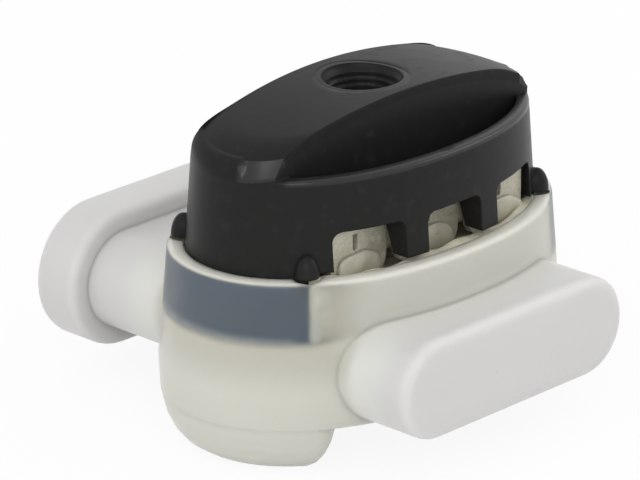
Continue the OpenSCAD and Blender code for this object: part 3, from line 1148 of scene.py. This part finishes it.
@dataclass
class ChamberGel:
    """The gel that fills the body round the wires' ends, higher against the wall than under the forks."""

    wall: Oval = Oval(14.2, 8.75)
    gap: float = 0.06
    end_x: float = 10.98
    floor_z: float = 4.7
    side_z: Span = (5.1, 11.4)
    middle_z: float = 11.7
    wall_z: float = 13.3
    fork_y: Span = (6.25, 7.65)
    wall_out: Span = (0.84, 0.94)
    floor_out: Span = (0.2, 0.97)
    top_out: Span = (1.0, 0.04)
    floor_rings: int = 5
    side_rings: int = 8
    top_rings: int = 40
    lump: float = 2.6
    height_low: float = 0.048
    height_high: float = 0.12
    seed: int = 11
    keep: float = 0.11
    around: int = 200
    finish: SealingGel = field(default_factory=SealingGel)

    def top(self, plan: np.ndarray, out: np.ndarray) -> np.ndarray:
        """The gel's lumpy surface.

        It stands at middle_z, and rises to wall_z with a smooth step of |y| over fork_y, or of the
        share of the oval over wall_out. The lumps grow with it.

        Args:
            plan: points of the plan, with y from the ovals' middle.
            out: how far out on the oval they are, 1 at the wall.

        Returns:
            z for each point.
        """
        rise = np.maximum(ramp(np.abs(plan[:, 1]), *self.fork_y), ramp(out, *self.wall_out))
        z = self.middle_z + (self.wall_z - self.middle_z) * rise * rise * (3 - 2 * rise)
        lumps = wave_noise(np.column_stack([plan, z]), self.lump, self.seed)
        return z + lumps * (self.height_low + (self.height_high - self.height_low) * rise)

    def shape(self) -> np.ndarray:
        """Rings from the middle of the floor out to the wall, up it, and in over the top.

        At an angle t the plan reaches r(t), the lesser of the wall's oval less the gap and the
        cut-off x = end_x.

        Returns:
            The rings of points.
        """
        angle = np.linspace(0, 2 * np.pi, self.around, endpoint=False)
        way = np.column_stack([np.cos(angle), np.sin(angle)])
        wall = self.wall.inset(self.gap)
        oval = wall.level(way[:, 0], way[:, 1]) ** (-1 / wall.fullness)
        reach = np.minimum(oval, self.end_x / np.maximum(np.abs(way[:, 0]), TINY))
        rings = []
        for share in np.linspace(*self.floor_out, self.floor_rings):
            rings.append((way * (reach * share)[:, None], np.full(self.around, self.floor_z)))
        for z in np.linspace(*self.side_z, self.side_rings):
            rings.append((way * reach[:, None], np.full(self.around, z)))
        for share in np.linspace(*self.top_out, self.top_rings):
            plan = way * (reach * share)[:, None]
            rings.append((plan, self.top(plan, reach * share / oval)))
        points = np.stack([np.column_stack(ring) for ring in rings])
        points[..., 1] += middle_y()
        return points

    def build(self) -> bpy.types.Object:
        """Make the gel, which rides with the housing, with a mesh of its own.

        Returns:
            The piece.
        """
        piece = closed_skin("chamber_gel", self.shape())
        dress(piece, self.finish)
        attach(piece, Carrier.HOUSING.value)
        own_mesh(piece)
        log.info("chamber_gel: %d faces", len(piece.data.polygons))
        return piece


@dataclass(frozen=True)
class Lamp:
    """A square area lamp, with its place and its side in metres and its power in watts."""

    name: str
    spot: Triple
    side: float
    power: float

    def build(self, aim: Triple) -> None:
        """Hang the lamp and turn it to a point.

        Args:
            aim: the point, in metres.
        """
        data = bpy.data.lights.new(self.name, "AREA")
        data.size = self.side
        data.energy = self.power
        lamp = bpy.data.objects.new(self.name, data)
        lamp.location = self.spot
        lamp.rotation_euler = (Vector(aim) - Vector(self.spot)).to_track_quat("-Z", "Y").to_euler()
        bpy.context.scene.collection.objects.link(lamp)


@dataclass
class Studio:
    """White surroundings, soft lamps and the camera of the picture.

    The camera looks from an azimuth and an elevation in degrees at its target. Its clip distances
    are metres.
    """

    target: Triple = (-4.092, -2.575, 12.693)
    azimuth: float = -46.598
    elevation: float = 21.003
    distance: float = 344.68
    lens: float = 291.07
    sensor: float = 36.0
    clip: Span = (0.02, 20.0)
    floor_half: float = 900.0
    floor_grey: float = 0.9
    floor_glow: float = 0.9
    ambient: float = 0.82
    aim: Triple = (0.0, 0.0, 0.01)
    lamps: tuple[Lamp, ...] = (
        Lamp("key", (-0.32, -0.34, 0.24), 0.26, 0.45),
        Lamp("left", (-0.415, -0.10, 0.2525), 0.18, 0.27),
        Lamp("fill", (0.40, -0.26, 0.26), 0.30, 0.45),
        Lamp("edge", (-0.22, 0.04, 0.44), 0.12, 0.12),
    )

    def seen(self, graph: Graph) -> Signal:
        """Which rays show the surroundings: from the camera, off gloss, or through the plastic.

        Args:
            graph: the tree.

        Returns:
            1 for those rays.
        """
        path = graph.add("ShaderNodeLightPath")
        rays = path.out("Is Camera Ray").larger(path.out("Is Glossy Ray"))
        return rays.larger(path.out("Is Transmission Ray"))

    def surroundings(self) -> None:
        """A white world that lights with a plain grey."""
        world = bpy.data.worlds.new("surroundings")
        world.use_nodes = True
        graph = Graph(world.node_tree)
        tint = graph.mix(self.seen(graph), grey(self.ambient), grey(1.0))
        light = graph.add("ShaderNodeBackground", None, {"Color": tint})
        graph.add("ShaderNodeOutputWorld", None, {"Surface": light})
        bpy.context.scene.world = world

    def floor(self) -> None:
        """A pale floor, white where it is seen, that keeps a faint shadow."""
        half = self.floor_half * MM
        mesh = bpy.data.meshes.new("floor")
        corners = [(-half, -half, 0), (half, -half, 0), (half, half, 0), (-half, half, 0)]
        mesh.from_pydata(corners, [], [(0, 1, 2, 3)])
        piece = bpy.data.objects.new("floor", mesh)
        bpy.context.scene.collection.objects.link(piece)
        made = bpy.data.materials.new("floor")
        made.use_nodes = True
        graph = Graph(made.node_tree)
        matt = graph.add("ShaderNodeBsdfDiffuse", None, {"Color": grey(self.floor_grey)})
        glow = graph.add("ShaderNodeEmission", None, {"Color": grey(1.0), "Strength": 1.0})
        both = graph.blend(self.seen(graph) * self.floor_glow, matt, glow)
        graph.add("ShaderNodeOutputMaterial", None, {"Surface": both})
        mesh.materials.append(made)

    def camera(self) -> None:
        """The picture's own viewpoint, from the fit of its outlines."""
        a, e = math.radians(self.azimuth), math.radians(self.elevation)
        back = Vector((math.sin(a) * math.cos(e), -math.cos(a) * math.cos(e), math.sin(e)))
        data = bpy.data.cameras.new("camera")
        data.sensor_width = self.sensor
        data.lens = self.lens
        data.clip_start, data.clip_end = self.clip
        made = bpy.data.objects.new("camera", data)
        made.location = (Vector(self.target) + back * self.distance) * MM
        made.rotation_euler = (-back).to_track_quat("-Z", "Y").to_euler()
        bpy.context.scene.collection.objects.link(made)
        bpy.context.scene.camera = made

    def build(self) -> None:
        """Set up the whole studio."""
        bpy.context.scene.view_settings.view_transform = "Standard"
        self.surroundings()
        self.floor()
        for lamp in self.lamps:
            lamp.build(self.aim)
        self.camera()


def main() -> None:
    logging.basicConfig(level=logging.INFO, format="%(name)s: %(message)s")
    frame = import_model()
    nodes = frame["nodes"]
    Studio().build()
    Moulding("body", FrostedPlastic(), Slot.FROSTED).build(nodes)
    Moulding("cap", BlackPlastic(), Slot.BLACK).build(nodes)
    Moulding("contact_element", GelledBrass(), Slot.TINNED, crease=30.0).build(nodes)
    CrownSkin().build()
    GelMass().build()
    GelSmears().build()
    ChamberGel().build()


if __name__ == "__main__":
    main()
